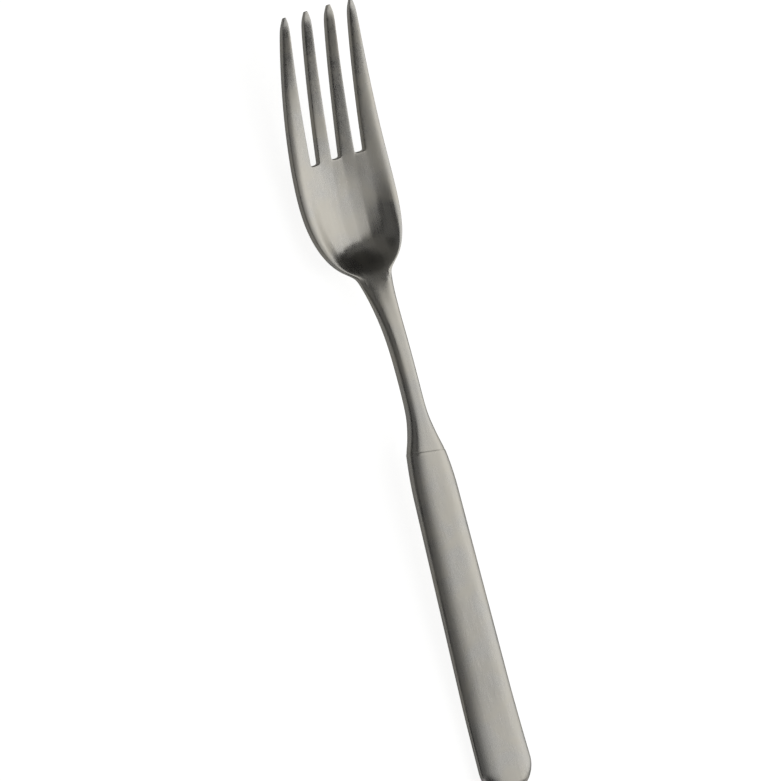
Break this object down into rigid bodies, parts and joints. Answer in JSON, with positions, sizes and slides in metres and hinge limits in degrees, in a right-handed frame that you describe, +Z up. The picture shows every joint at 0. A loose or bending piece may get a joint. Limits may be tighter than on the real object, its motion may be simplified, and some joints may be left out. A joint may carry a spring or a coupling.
{
  "type": "serving fork",
  "caption": "Stainless serving fork: forged head with curved tines and dished bowl, its tang cemented into a hollow handle of two pressed shells.",
  "frame": {"origin": "on the table, under the centre of the fork's bounding box", "axes": "+Y along the fork from the handle to the tine tips, +X to the fork's right seen from its front, +Z up; the fork lies on its handle and on the back of its bowl"},
  "size_m": [0.031, 0.2188, 0.0161],
  "materials": {
    "head_steel": "satin, brushed along the fork",
    "handle_steel": "satin, brushed along the fork",
    "braze": "as flowed",
    "cement": "matt, as set"
  },
  "bodies": {
    "root": {"fork_head": "head_steel", "handle_front_shell": "handle_steel", "handle_back_shell": "handle_steel", "seam_braze": "braze", "tang_cement": "cement"}
  },
  "joints": []
}
